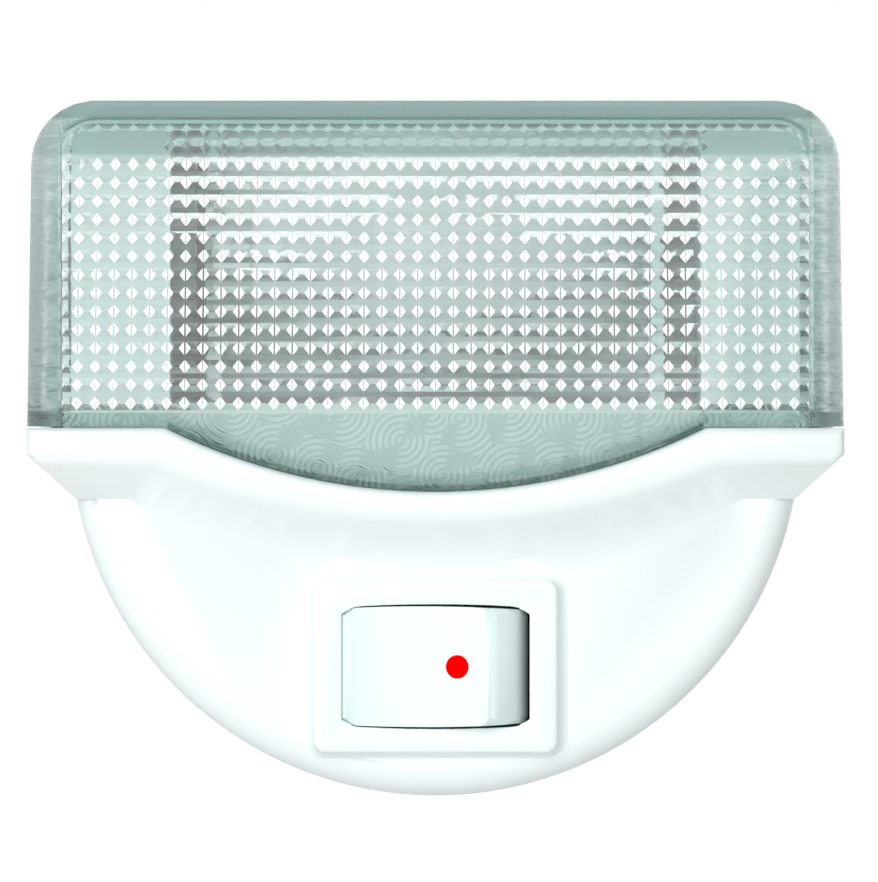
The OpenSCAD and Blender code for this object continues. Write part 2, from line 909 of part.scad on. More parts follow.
// Turns of the spring, as a tube of triangles that runs round the plunger's axis
module plunger_spring() {
    y0 = tip_reach - plunger_l - spring_wire / 2;
    length = bore_top + y0 - spring_wire / 2;
    turns = 5;
    steps = 12;
    sides = 8;
    r = plunger_d / 2 - spring_wire / 2;
    rings = [for (i = [0:turns * steps]) i / steps];
    points = [for (t = rings) for (k = [0:sides - 1])
        let (
            around = 360 * t,
            wire = 360 * k / sides,
            reach = r + spring_wire / 2 * cos(wire),
            rise = y0 - length * t / turns + spring_wire / 2 * sin(wire)
        )
            [reach * cos(around), rise, reach * sin(around)]];
    last = len(rings) - 1;
    walls = [for (i = [0:last - 1]) for (k = [0:sides - 1])
        let (a = i * sides + k, b = i * sides + (k + 1) % sides)
            [a, b, b + sides, a + sides]];
    caps = [[for (k = [sides - 1:-1:0]) k], [for (k = [0:sides - 1]) last * sides + k]];
    color("silver")
        on_rocker()
            polyhedron(points, concat(walls, caps));
}

module switch_frame() {
    half_l = frame_in_l / 2;
    half_h = frame_in_h / 2;
    color("dimgray")
        difference() {
            block([-half_l - frame_wall, frame_front, pad_z - half_h - frame_wall],
                [half_l + frame_wall, frame_end, pad_z + half_h + frame_wall]);
            block([-half_l, frame_front - past, pad_z - half_h], [half_l, frame_back, pad_z + half_h]);
            // Bearings of the rocker's pins
            translate([0, pivot_y, pad_z])
                cylinder(h = frame_in_h + 3 * frame_wall, r = pin_d / 2 + pin_fit, center = true);
            // Ways out for the terminals
            block([-fulcrum_r, frame_back - past, pad_z - plate_h / 2],
                [fulcrum_r, frame_end + past, pad_z + plate_h / 2]);
            block([button_x - strip_t / 2, frame_back - past, pad_z - strip_w / 2],
                [button_x + strip_t / 2, frame_end + past, pad_z + strip_w / 2]);
        }
}

module seesaw_contact() {
    color("goldenrod")
        translate([0, plate_y0, pad_z])
            rotate([0, 0, plate_tilt]) {
                block([-plate_l / 2, -contact_t / 2, -plate_h / 2],
                    [plate_l / 2, contact_t / 2, plate_h / 2]);
                for (side = [-1, 1])
                    translate([side * button_x, 0, 0])
                        disc_y(button_d / 2, contact_t / 2, contact_t / 2 + button_t);
            }
}

module common_terminal() {
    color("goldenrod") {
        translate([0, fulcrum_y, pad_z - plate_h / 2])
            cylinder(h = plate_h, r = fulcrum_r);
        block([-fulcrum_r, fulcrum_y, pad_z - plate_h / 2], [fulcrum_r, tail_end, pad_z + plate_h / 2]);
    }
}

module lamp_terminal() {
    color("goldenrod") {
        block([button_x - button_d / 2, fixed_y, pad_z - strip_w / 2],
            [button_x + button_d / 2, frame_back, pad_z + strip_w / 2]);
        block([button_x - strip_t / 2, fixed_y, pad_z - strip_w / 2],
            [button_x + strip_t / 2, tail_end, pad_z + strip_w / 2]);
    }
}

// ---- Plug ----

// Blade at the place x with the width w; its foot points to the side
module blade(x, w, side) {
    color("gold")
        difference() {
            union() {
                intersection() {
                    block([x - blade_t / 2, plate_y - foot_t, -w / 2], [x + blade_t / 2, blade_l, w / 2]);
                    // The tip narrows both ways
                    along_x(x - blade_t, x + blade_t)
                        polygon([
                            [plate_y - foot_t, -w / 2],
                            [blade_l - blade_tip, -w / 2],
                            [blade_l, blade_tip - w / 2],
                            [blade_l, w / 2 - blade_tip],
                            [blade_l - blade_tip, w / 2],
                            [plate_y - foot_t, w / 2]
                        ]);
                }
                block([min(x, x + side * (blade_t / 2 + blade_foot)), plate_y - foot_t, -w / 2],
                    [max(x, x + side * (blade_t / 2 + blade_foot)), plate_y, w / 2]);
            }
            translate([0, blade_hole_y, 0])
                disc_x(blade_hole_d / 2, x - blade_t, x + blade_t);
            translate([side * foot_mid, 0, 0])
                disc_y(rivet_d / 2, plate_y - foot_t - past, plate_y + past);
        }
}

module hot_blade() {
    blade(blade_x, hot_w, 1);
}

module neutral_blade() {
    blade(-blade_x, neutral_w, -1);
}

module strip_rivets() {
    color("silver") {
        for (side = [-1, 1])
            translate([side * foot_mid, 0, 0]) {
                disc_y(rivet_d / 2, strip_y, plate_y);
                disc_y(rivet_head_d / 2, strip_y - rivet_head_t, strip_y);
            }
    }
}

// From the hot blade's foot down behind the switch, and forward to the common terminal
module hot_strip() {
    x0 = foot_mid - strip_w / 2;
    x1 = foot_mid + strip_w / 2;
    color("darkgoldenrod")
        difference() {
            union() {
                block([x0, strip_y, pad_z - strip_w / 2], [x1, strip_y + strip_t, strip_w / 2]);
                block([fulcrum_r, strip_y, pad_z - strip_w / 2],
                    [x1, strip_y + strip_t, pad_z + strip_w / 2]);
                block([fulcrum_r, frame_end + tail_gap, pad_z - strip_w / 2],
                    [fulcrum_r + strip_t, strip_y + strip_t, pad_z + strip_w / 2]);
            }
            translate([foot_mid, 0, 0])
                disc_y(rivet_d / 2, strip_y - past, strip_y + strip_t + past);
        }
}

// From the neutral blade's foot up and to the left, then up to the socket and forward to its sleeve
module neutral_strip() {
    leg_z = bulb_z - socket_d / 2 - strip_t - block_gap;
    color("darkgoldenrod")
        difference() {
            union() {
                block([-foot_mid - strip_w / 2, strip_y, -strip_w / 2],
                    [strip_w / 2 - foot_mid, strip_y + strip_t, run_z + strip_w]);
                block([tongue_x - tongue_w / 2, strip_y, run_z],
                    [strip_w / 2 - foot_mid, strip_y + strip_t, run_z + strip_w]);
                block([tongue_x - tongue_w / 2, strip_y, run_z],
                    [tongue_x + tongue_w / 2, strip_y + strip_t, leg_z + strip_t]);
                block([tongue_x - tongue_w / 2, bulb_y - strip_w / 2, leg_z],
                    [tongue_x + tongue_w / 2, strip_y + strip_t, leg_z + strip_t]);
                block([tongue_x - tongue_w / 2, bulb_y - strip_t / 2, leg_z],
                    [tongue_x + tongue_w / 2, bulb_y + strip_t / 2, bulb_z - sleeve_out + strip_t / 2]);
            }
            translate([-foot_mid, 0, 0])
                disc_y(rivet_d / 2, strip_y - past, strip_y + strip_t + past);
            // The upright end is cut to the round of the sleeve.
            translate([0, bulb_y, bulb_z])
                disc_x(sleeve_out, socket_x0, 0);
        }
}

// From the lamp terminal to the left under the lamp chamber, and up to the centre contact
module lamp_strip() {
    y0 = tail_end - strip_t;
    x0 = button_x + strip_t / 2;
    foot_x0 = leaf_x + leaf_t + tail_gap;
    foot_x1 = leaf_x + leaf_t + strip_w;
    ledge = 1.4;
    color("darkgoldenrod") {
        block([x0, frame_end + tail_gap, pad_z - strip_w / 2],
            [x0 + strip_t, tail_end, pad_z + strip_w / 2]);
        block([x0, y0, pad_z - strip_w / 2], [x0 + strip_w, tail_end, run_z + strip_w]);
        block([foot_x0, y0, run_z], [x0 + strip_w, tail_end, run_z + strip_w]);
        block([foot_x0, y0, run_z], [foot_x1, tail_end, leaf_z]);
        block([leaf_x, y0 - ledge, leaf_z - strip_t], [foot_x1, tail_end, leaf_z]);
    }
}

module insulating_barrier() {
    color("peru")
        along_y(barrier_y, barrier_y + barrier_t)
            round_rect(barrier_w, barrier_h, barrier_r);
}

// ---- Lamp socket ----

module on_lamp_axis() {
    translate([0, bulb_y, bulb_z])
        children();
}

module socket_body() {
    color("ivory")
        on_lamp_axis()
            difference() {
                union() {
                    disc_x(socket_d / 2, socket_x0, socket_x1);
                    // Foot that stands on the back plate of the reflector
                    block([socket_x0, 0, -socket_foot / 2],
                        [socket_x1, tray_back - bulb_y, socket_foot / 2]);
                }
                disc_x(sleeve_out, leaf_x, socket_x1 + past);
                // Slots for the strips
                block([tongue_x - tongue_w / 2 - slot_room, -strip_t / 2 - slot_room, -socket_d],
                    [tongue_x + tongue_w / 2 + slot_room, strip_t / 2 + slot_room, 0]);
                block([leaf_x, -strip_w / 2, -socket_d], [leaf_x + leaf_t, strip_w / 2, 0]);
            }
}

module socket_shell() {
    color("goldenrod")
        on_lamp_axis()
            difference() {
                disc_x(sleeve_out, sleeve_x0, sleeve_x1);
                disc_x(sleeve_in, sleeve_x0 - past, sleeve_x1 + past);
            }
}

module centre_contact() {
    color("goldenrod") {
        on_lamp_axis()
            disc_x(sleeve_out - leaf_rim, leaf_x, leaf_x + leaf_t);
        block([leaf_x, bulb_y - strip_w / 2, leaf_z], [leaf_x + leaf_t, bulb_y + strip_w / 2, bulb_z]);
        block([leaf_x, bulb_y - strip_w / 2, leaf_z],
            [leaf_x + leaf_t + strip_w, tail_end, leaf_z + leaf_t]);
    }
}

// ---- Bulb ----

// Turns an outline (radius, place along X) about the lamp's axis
module turned() {
    on_lamp_axis()
        rotate([0, 90, 0])
            rotate_extrude($fn = 96)
                children();
}

module bulb_glass() {
    color("lightcyan", 0.4)
        turned()
            polygon(concat(
                [[neck_r, glass_x0]],
                [for (i = [0:glass_steps]) [glass_r(i, 0), glass_x(i)]],
                [for (i = [glass_steps - 1:-1:0])
                    [glass_r(i, glass_t), glass_x(i) - (i > glass_steps / 2 ? glass_t : 0)]],
                [[neck_r - glass_t, glass_x0]]
            ));
}

module bulb_stem() {
    color("lightcyan", 0.6)
        turned() {
            translate([0, glass_x0])
                square([neck_r - glass_t, stem_foot_t]);
            // The stem narrows to the flat pinch that holds the wires.
            pinch_r = lead_pitch / 2 + lead_r + glass_t / 2;
            polygon([
                [0, glass_x0],
                [neck_r / 2 + glass_t, glass_x0],
                [pinch_r + lead_r, glass_x0 + stem_l * 2 / 3],
                [pinch_r, glass_x0 + stem_l],
                [0, glass_x0 + stem_l]
            ]);
        }
}

// Each wire runs out of the stem, then spreads to its end of the filament.
module bulb_lead_wires() {
    bend_x = filament_x - lead_run;
    spread = (filament_l - lead_pitch) / 2;
    lean = atan2(lead_run, spread);
    color("silver")
        on_lamp_axis()
            for (side = [-1, 1]) {
                translate([0, 0, side * lead_pitch / 2]) {
                    disc_x(lead_r, glass_x0 + stem_l, bend_x);
                    translate([bend_x, 0, 0]) {
                        sphere(lead_r, $fn = 24);
                        rotate([0, side > 0 ? lean : 180 - lean, 0])
                            cylinder(h = norm([lead_run, spread]), r = lead_r);
                    }
                }
            }
}

module bulb_filament() {
    color("dimgray")
        on_lamp_axis()
            translate([filament_x + filament_r + lead_r / 2, 0, 0])
                cylinder(h = filament_l, r = filament_r, center = true);
}

// Thread of the base as rounds: each crest is a cone up and a cone down.
module base_shell() {
    turns = floor(base_l / thread_pitch) - 1;
    crest = base_d / 2;
    root = crest - thread_deep;
    color("silver")
        turned()
            difference() {
                polygon(concat(
                    [[0, shell_x0], [root, shell_x0]],
                    [for (i = [0:turns - 1]) for (p = [[root, 0.15], [crest, 0.5], [root, 0.85]])
                        [p[0], shell_x0 + thread_pitch * (i + 0.5 + p[1])]],
                    [[root, shell_x1], [0, shell_x1]]
                ));
                translate([-past, shell_x0 + shell_t])
                    square([neck_r + past, base_l]);
            }
}

module base_insulator() {
    color("black")
        turned()
            polygon([
                [0, bulb_end + tip_contact_t],
                [tip_contact_r + shell_t, bulb_end + tip_contact_t],
                [base_d / 2 - thread_deep, shell_x0],
                [0, shell_x0]
            ]);
}

module base_contact() {
    color("silver")
        turned()
            polygon([
                [0, bulb_end],
                [tip_contact_r * 2 / 3, bulb_end],
                [tip_contact_r, bulb_end + tip_contact_t],
                [0, bulb_end + tip_contact_t]
            ]);
}

back_housing();
front_cover();
lens();
reflector();
rocker();
rocker_dot();
plunger();
plunger_spring();
switch_frame();
seesaw_contact();
common_terminal();
lamp_terminal();
hot_blade();
neutral_blade();
hot_strip();
neutral_strip();
lamp_strip();
strip_rivets();
insulating_barrier();
socket_body();
socket_shell();
centre_contact();
bulb_glass();
bulb_stem();
bulb_lead_wires();
bulb_filament();
base_shell();
base_insulator();
base_contact();
case_screws();
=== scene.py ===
"""Plug-in night light: soft-edged mouldings, the prismatic lens and every finish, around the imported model."""

import math

import bmesh
import bpy
from mathutils import Matrix, Vector


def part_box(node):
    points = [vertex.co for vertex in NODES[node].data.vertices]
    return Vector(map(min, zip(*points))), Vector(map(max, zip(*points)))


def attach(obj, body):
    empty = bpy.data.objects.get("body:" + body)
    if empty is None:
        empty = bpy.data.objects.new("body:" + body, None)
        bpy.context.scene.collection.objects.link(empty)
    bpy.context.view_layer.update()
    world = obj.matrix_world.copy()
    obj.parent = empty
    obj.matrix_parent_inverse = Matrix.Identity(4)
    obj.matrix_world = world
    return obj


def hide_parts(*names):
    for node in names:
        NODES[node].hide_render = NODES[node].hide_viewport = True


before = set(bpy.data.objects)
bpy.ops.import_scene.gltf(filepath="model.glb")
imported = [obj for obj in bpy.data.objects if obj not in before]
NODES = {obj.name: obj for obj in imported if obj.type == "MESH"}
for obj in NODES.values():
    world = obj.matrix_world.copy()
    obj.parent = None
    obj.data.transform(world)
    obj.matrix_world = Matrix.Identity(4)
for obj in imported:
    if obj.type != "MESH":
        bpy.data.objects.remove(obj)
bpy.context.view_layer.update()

MM = 0.001

# Places taken from the frame
COVER_LOW, COVER_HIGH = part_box("front_cover")
FRONT = COVER_LOW.y
LIP_TOP = COVER_HIGH.z
LENS_HALF, LENS_BACK, LENS_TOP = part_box("lens")[1]
CASE_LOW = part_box("back_housing")[0].z

# Lens moulding
LENS_WALL = 1.6 * MM
LENS_TAPER = 0.35 * MM
CORNER_R = 5.7 * MM
SIDE_ROUND = 3 * MM
TOP_ROUND = 0.8 * MM
INNER_SIDE_ROUND = 1 * MM
INNER_TOP_ROUND = 0.3 * MM
BROW_R = 12 * MM
BROW_H = 6 * MM
SCOOP_R = 53.05 * MM
SCOOP_DEPTH = 5.45 * MM
FOOT_GAP = 0.15 * MM
FOOT_BAND = 1.45 * MM
SKIRT_DEPTH = 1.5 * MM
SKIRT_OUT = 3.2 * MM
SKIRT_IN = 2.1 * MM
BAND_OUT = 1.3 * MM
FOOT_TURN_STEPS = 8
FOOT_FRONT_STEPS = 96

# Front cover
BOWL_FACE = FRONT + 4 * MM
PAD_FACE = FRONT + 2.7 * MM
PAD_Z = -12 * MM
PAD_HALF_W = 10.75 * MM
PAD_HALF_H = 7.6 * MM
LIP_ROUND = 0.7 * MM
PAD_ROUND = 0.3 * MM
PAD_CORNER = 1.1 * MM
PAD_FOOT = 0.95 * MM
PAD_FOOT_SUNK = 0.2 * MM
PAD_FOOT_STEPS = 8
BOWL_MID = 9 * MM
BOWL_FLAT = 29.8 * MM
BOWL_EDGE = 2.4 * MM
OPENING_HALF = 8.6 * MM
OPENING_ROUND = 0.08 * MM
CORNER_ROUND = 0.5 * MM

# Rocker: pins, tilt at rest, hollow face, and the rounding of its crests and its broad ends
PIN_DEPTH = 8.95 * MM
PIN_Y = PAD_FACE + PIN_DEPTH
TILT = math.radians(8.75)
ROCKER_HALF = 7.95 * MM
ROCKER_R = math.hypot(ROCKER_HALF, PIN_DEPTH)
ROCKER_BROAD = 9.05 * MM
CREST_TURN = math.atan2(ROCKER_HALF, PIN_DEPTH) - TILT
CREST_X = ROCKER_R * math.sin(CREST_TURN)
CREST_H = ROCKER_R * math.cos(CREST_TURN)
FACE_HOLLOW = 0.8 * MM
FACE_R = (CREST_X ** 2 + FACE_HOLLOW ** 2) / (2 * FACE_HOLLOW)
FACE_MID = Vector((0, -CREST_H - math.sqrt(FACE_R ** 2 - CREST_X ** 2)))
END_ROUND = 5 * MM
CREST_ROUND = 1.5 * MM
ROUND_STEPS = 6
FACE_STRIPS = 20

# Prism field on the inside of the front
PRISM_COLUMNS = 42
PRISM_ROWS = 14
BROW_ROWS = 2
PRISM_W = 1.577 * MM
PRISM_H = 1.614 * MM
BROW_PRISM_H = 1.42 * MM
PRISM_RIDGE = 0.025 * MM
MIDDLE_RIDGE = 0.07 * MM
MIDDLE_ROWS = (3, 8)
PRISM_LAND = 0.44 * MM
PRISM_DEPTH = 0.44 * MM
SIDE_SLOPE = math.radians(45)
LEVEL_SLOPE = math.radians(40)
BROW_SLOPE = math.radians(28)
BROW_DEPTH = 0.22 * MM
PRISM_EDGE = 0.06 * MM
FIELD_LOW = LIP_TOP + 1.36 * MM
FIELD_MARGIN = 0.2 * MM

# Rows of the grid under the field, and steps of the turn into the sides and along the walls
APRON_ROWS = 8
TURN_STEPS = 8
WALL_STEPS = 2

# Parts of the lens with painted shade: side walls, brow, front of the roof, skirt, and the foot's edge and ends
RIM_SIDE = 3.2 * MM
BROW_DROP = 5.1 * MM
BROW_FORE = 3 * MM
ROOF_DEPTH = 1.9 * MM
ROOF_FORE = 7.5 * MM
SKIRT_FADE = 0.2 * MM
EDGE_BAND = 0.5 * MM
EDGE_FADE = 0.15 * MM
FOOT_END = 23.2 * MM
RIM_FADE = 0.5 * MM

# Fine relief of the lens; the depths are shares of a millimetre
SWIRL_SIZE = 4.2 * MM
SWIRL_PITCH = 0.55 * MM
SWIRL_DEPTH = 0.024
RIPPLE = 0.5
RIPPLE_LONG = 2.5 * MM
RIPPLE_HIGH = 0.7 * MM

# Clouds and grain of plastics, streaks and tarnish of metals
CLOUD_SCALE = 120
GRAIN_SCALE = 4000
GRAIN_DEPTH = 0.1 * MM
STREAK_SCALES = (4000, 400, 4000)
STREAK_RELIEF = 0.05
STREAK_DEPTH = 0.05 * MM
TARNISH_SCALE = 300
TARNISH = 0.15


# ---- Shared modelling helpers ----

def finish_piece(name, bm, material, body, replaced, smooth=30, normal_at=None):
    """Turns a bmesh into a piece that rides on a body and stands for the node replaced.
    normal_at(face, place) gives the exact normal of a curved face, or a zero vector."""
    mesh = bpy.data.meshes.new(name)
    bm.to_mesh(mesh)
    bm.free()
    for face in mesh.polygons:
        face.use_smooth = True
    mesh.set_sharp_from_angle(angle=math.radians(smooth))
    mesh.materials.append(material)
    if normal_at:
        normals = [Vector() for _ in mesh.loops]
        for face in mesh.polygons:
            for corner, v in zip(face.loop_indices, face.vertices):
                normals[corner] = normal_at(face, mesh.vertices[v].co)
        mesh.normals_split_custom_set(normals)
    piece = bpy.data.objects.new(name, mesh)
    bpy.context.scene.collection.objects.link(piece)
    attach(piece, body)
    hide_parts(replaced)


def merged_copy(node, flat=0.4):
    """A bmesh of a node with its doubles merged and its flat faces made whole."""
    bm = bmesh.new()
    bm.from_mesh(NODES[node].data)
    bmesh.ops.remove_doubles(bm, verts=bm.verts, dist=1e-6)
    if flat:
        bmesh.ops.dissolve_limit(bm, angle_limit=math.radians(flat), verts=bm.verts, edges=bm.edges)
    return bm


def near(value, target, slack=0.02 * MM):
    return abs(value - target) < slack


def soften(bm, chosen, radius, segments=3, sharp=20):
    """Rounds the sharp edges that chosen(edge) picks."""
    edges = [e for e in bm.edges
             if e.is_manifold and e.calc_face_angle() > math.radians(sharp) and chosen(e)]
    bmesh.ops.bevel(bm, geom=edges, offset=radius, offset_type="OFFSET", affect="EDGES",
                    segments=segments, profile=0.5, material=-1, clamp_overlap=False)


def extruded(bm, loop, known):
    """Extrudes the edges of loop. What is known of each of their points is carried to the new points."""
    fresh = bmesh.ops.extrude_edge_only(bm, edges=loop)["geom"]
    edges = [g for g in fresh if isinstance(g, bmesh.types.BMEdge)]
    carried = {}
    for v in [g for g in fresh if isinstance(g, bmesh.types.BMVert)]:
        behind = min((e.other_vert(v) for e in v.link_edges if e.other_vert(v) in known),
                     key=lambda p: (p.co - v.co).length_squared)
        carried[v] = known[behind]
    return edges, carried


def swept(stations, section, place, closed):
    """Sweeps a section through stations; place(station, corner) gives the place of a corner.
    A closed sweep runs back into its start, and an open one is capped at both ends."""
    bm = bmesh.new()
    known = {bm.verts.new(place(stations[0], corner)): corner for corner in section}
    start = bm.faces.new(known)
    first = loop = list(start.edges)
    for station in stations[1:]:
        loop, known = extruded(bm, loop, known)
        for v, corner in known.items():
            v.co = place(station, corner)
    if closed:
        bmesh.ops.delete(bm, geom=[start], context="FACES_ONLY")
        bmesh.ops.bridge_loops(bm, edges=first + loop)
    else:
        bmesh.ops.contextual_create(bm, geom=loop)
    bmesh.ops.recalc_face_normals(bm, faces=bm.faces)
    return bm


# ---- Lens ----

def foot_height(x):
    """Height of the foot of the lens at a place across its front: level, with the scoop in the middle."""
    scoop_mid = LIP_TOP - SCOOP_DEPTH + SCOOP_R
    level = LIP_TOP + FOOT_GAP
    if abs(x) >= SCOOP_R:
        return level
    return min(level, scoop_mid - math.sqrt(SCOOP_R * SCOOP_R - x * x))


def spread(places, parts):
    """The places with each gap between them shared into equal parts."""
    fine = []
    for low, high in zip(places, places[1:]):
        fine += [low + (high - low) * k / parts for k in range(parts)]
    return fine + [places[-1]]


def lens_skin(wall, side_round, top_round, prisms):
    """One skin of the lens: a grid for the front, turned back round its edges to the wall plate."""
    bm = bmesh.new()
    half = LENS_HALF - wall
    top = LENS_TOP - wall
    corner = CORNER_R - wall
    core_x, core_z = half - corner, top - corner
    reach_x, reach_z = corner - side_round, corner - top_round
    edge_x = half - side_round
    edge_z = top - top_round

    field_half = min(PRISM_COLUMNS * PRISM_W / 2, edge_x - FIELD_MARGIN)
    pitch = 2 * field_half / PRISM_COLUMNS
    seams = [-edge_x] + [pitch * i - field_half for i in range(PRISM_COLUMNS + 1)] + [edge_x]
    xs = spread(seams, 2)
    levels = [FIELD_LOW + PRISM_H * i for i in range(PRISM_ROWS + 1)]
    levels += [levels[-1] + BROW_PRISM_H * i for i in range(1, BROW_ROWS + 1)]
    zs = spread(levels + [edge_z], 2)
    columns, rows = len(xs) - 1, len(zs) - 1 + APRON_ROWS

    # The front, with the prism cells joined from four squares each
    bmesh.ops.create_grid(bm, x_segments=columns, y_segments=rows, size=1)
    middles = []
    for v in bm.verts:
        i = round((v.co.x + 1) / 2 * columns)
        j = round((v.co.y + 1) / 2 * rows) - APRON_ROWS
        foot = foot_height(xs[i])
        z = zs[j] if j >= 0 else foot + (FIELD_LOW - foot) * (j + APRON_ROWS) / APRON_ROWS
        v.co = Vector((xs[i], FRONT + wall, z))
        if i % 2 and j > 0 and j % 2 and 2 < i < columns - 2 and j < len(zs) - 2:
            middles.append(v)

    # Upper corners: squares become ellipses about the corner's middle
    def corner_share(v):
        return max(0, abs(v.co.x) - core_x) / reach_x, max(0, v.co.z - core_z) / reach_z

    for v in bm.verts:
        u, w = corner_share(v)
        if u > 0 and w > 0:
            pull = max(u, w) / math.hypot(u, w)
            v.co.x = math.copysign(core_x + reach_x * u * pull, v.co.x)
            v.co.z = core_z + reach_z * w * pull

    if prisms:
        cut_prisms(bm, middles)

    # Sides and top: the edge of the grid, less its foot, is turned back in steps
    loop = [e for e in bm.edges if e.is_boundary
            and not all(near(v.co.z, foot_height(v.co.x), 0.01 * MM) for v in e.verts)]
    placed = {}
    for v in {v for e in loop for v in e.verts}:
        u, w = corner_share(v)
        size = math.hypot(u, w)
        placed[v] = (v.co.copy(), math.copysign(u / size, v.co.x), w / size)
    for k in range(1, TURN_STEPS + WALL_STEPS + 1):
        loop, placed = extruded(bm, loop, placed)
        turn = min(k, TURN_STEPS) / TURN_STEPS * math.pi / 2
        for v, (base, out_x, out_z) in placed.items():
            deep = side_round * out_x * out_x + top_round * out_z * out_z
            y = FRONT + wall + deep * (1 - math.cos(turn))
            y += (LENS_BACK - y) * max(0, k - TURN_STEPS) / WALL_STEPS
            v.co = Vector((base.x + out_x * side_round * math.sin(turn), y,
                           base.z + out_z * top_round * math.sin(turn)))
    return bm


def spans(face):
    """Width and height of a face of the front."""
    xs = [v.co.x for v in face.verts]
    zs = [v.co.z for v in face.verts]
    return max(xs) - min(xs), max(zs) - min(zs)


def resize(bm, face, wide, high):
    now_wide, now_high = spans(face)
    bmesh.ops.scale(bm, vec=(wide / now_wide, 1, high / now_high),
                    space=Matrix.Translation(-face.calc_center_bounds()), verts=face.verts)


def cut_prisms(bm, middles):
    """Sinks a four-sided pit with a flat tip into each cell, towards the front. Level lands part the rows."""
    bmesh.ops.dissolve_verts(bm, verts=middles)
    bm.normal_update()
    cells = [f for f in bm.faces if len(f.verts) == 8]
    brow_low = FIELD_LOW + PRISM_ROWS * PRISM_H
    first, last = [FIELD_LOW + row * PRISM_H for row in MIDDLE_ROWS]
    for ridge, middle in ((PRISM_RIDGE, False), (MIDDLE_RIDGE, True)):
        rows = [f for f in cells if (first < f.calc_center_bounds().z < last) == middle]
        bmesh.ops.inset_individual(bm, faces=rows, thickness=ridge, depth=0, use_even_offset=True)
        for f in rows:
            wide, high = spans(f)
            resize(bm, f, wide, high - PRISM_LAND + 2 * ridge)
    pits = [(f, *spans(f)) for f in cells]
    bmesh.ops.inset_individual(bm, faces=cells, thickness=PRISM_RIDGE, depth=0, use_even_offset=True)
    for f, wide, high in pits:
        in_brow = f.calc_center_bounds().z > brow_low
        depth = BROW_DEPTH if in_brow else PRISM_DEPTH
        flat_w = max(wide - 2 * depth / math.tan(BROW_SLOPE if in_brow else SIDE_SLOPE), 0.1 * wide)
        flat_h = max(high - 2 * depth / math.tan(BROW_SLOPE if in_brow else LEVEL_SLOPE), 0.1 * high)
        resize(bm, f, flat_w, flat_h)
        bmesh.ops.translate(bm, verts=f.verts, vec=(0, -depth, 0))
    bm.normal_update()
    edges = [e for e in bm.edges if e.is_manifold and e.calc_face_angle() > math.radians(12)]
    bmesh.ops.bevel(bm, geom=edges, offset=PRISM_EDGE, offset_type="OFFSET", affect="EDGES",
                    segments=1, profile=0.5, material=-1, clamp_overlap=True)


def lean_back(bm):
    """Leans the brow and the sides of a lens that stands upright."""
    brow_low = LENS_TOP - BROW_H
    for v in bm.verts:
        rise = min(max(0, v.co.z - brow_low), BROW_H)
        lean = BROW_R - math.sqrt(BROW_R * BROW_R - rise * rise)
        v.co.y += lean * (LENS_BACK - v.co.y) / (LENS_BACK - FRONT)
        climb = min(max(0, v.co.z - LIP_TOP) / (LENS_TOP - CORNER_R - LIP_TOP), 1)
        v.co.x -= LENS_TAPER * climb * v.co.x / LENS_HALF


def add_mesh(bm, other):
    """Adds the mesh of other to bm and frees other."""
    part = bpy.data.meshes.new("part")
    other.to_mesh(part)
    other.free()
    bm.from_mesh(part)
    bpy.data.meshes.remove(part)


def lens_foot():
    """Band and skirt round the foot: a section swept from one back edge round the front to the other."""
    core_x, core_y = LENS_HALF - SIDE_ROUND, FRONT + SIDE_ROUND

    # Stations along the outside of the foot, with the way in from each
    stations = [(-LENS_HALF, LENS_BACK, 1, 0)]
    for k in range(FOOT_TURN_STEPS + 1):
        a = math.pi / 2 * k / FOOT_TURN_STEPS
        in_x, in_y = math.cos(a), math.sin(a)
        stations.append((-core_x - SIDE_ROUND * in_x, core_y - SIDE_ROUND * in_y, in_x, in_y))
    for k in range(1, FOOT_FRONT_STEPS):
        stations.append((-core_x + 2 * core_x * k / FOOT_FRONT_STEPS, FRONT, 0, 1))
    stations += [(-x, y, -in_x, in_y) for x, y, in_x, in_y in reversed(stations[:FOOT_TURN_STEPS + 2])]

    section = [(BAND_OUT, 0), (SKIRT_IN, 0), (SKIRT_IN, -SKIRT_DEPTH), (SKIRT_OUT, -SKIRT_DEPTH),
               (SKIRT_OUT, FOOT_BAND), (BAND_OUT, FOOT_BAND)]

    def place(station, corner):
        x, y, in_x, in_y = station
        inset, rise = corner
        z = foot_height(x) if in_x == 0 else LIP_TOP + FOOT_GAP
        return Vector((x + in_x * inset, y + in_y * inset, z + rise))

    return swept(stations, section, place, closed=False)


def lens_cover():
    bm = lens_skin(0, SIDE_ROUND, TOP_ROUND, False)
    add_mesh(bm, lens_skin(LENS_WALL, INNER_SIDE_ROUND, INNER_TOP_ROUND, True))
    bmesh.ops.bridge_loops(bm, edges=[e for e in bm.edges if e.is_boundary])
    lean_back(bm)
    bmesh.ops.recalc_face_normals(bm, faces=bm.faces)
    add_mesh(bm, lens_foot())
    return bm


# ---- Cover ----

def bowl_depth(x, z):
    """Y of the face of the bowl, which rolls back near its rim."""
    over = min(max(0, math.hypot(x, z - BOWL_MID) - BOWL_FLAT), BOWL_EDGE)
    return BOWL_FACE + BOWL_EDGE - math.sqrt(BOWL_EDGE * BOWL_EDGE - over * over)


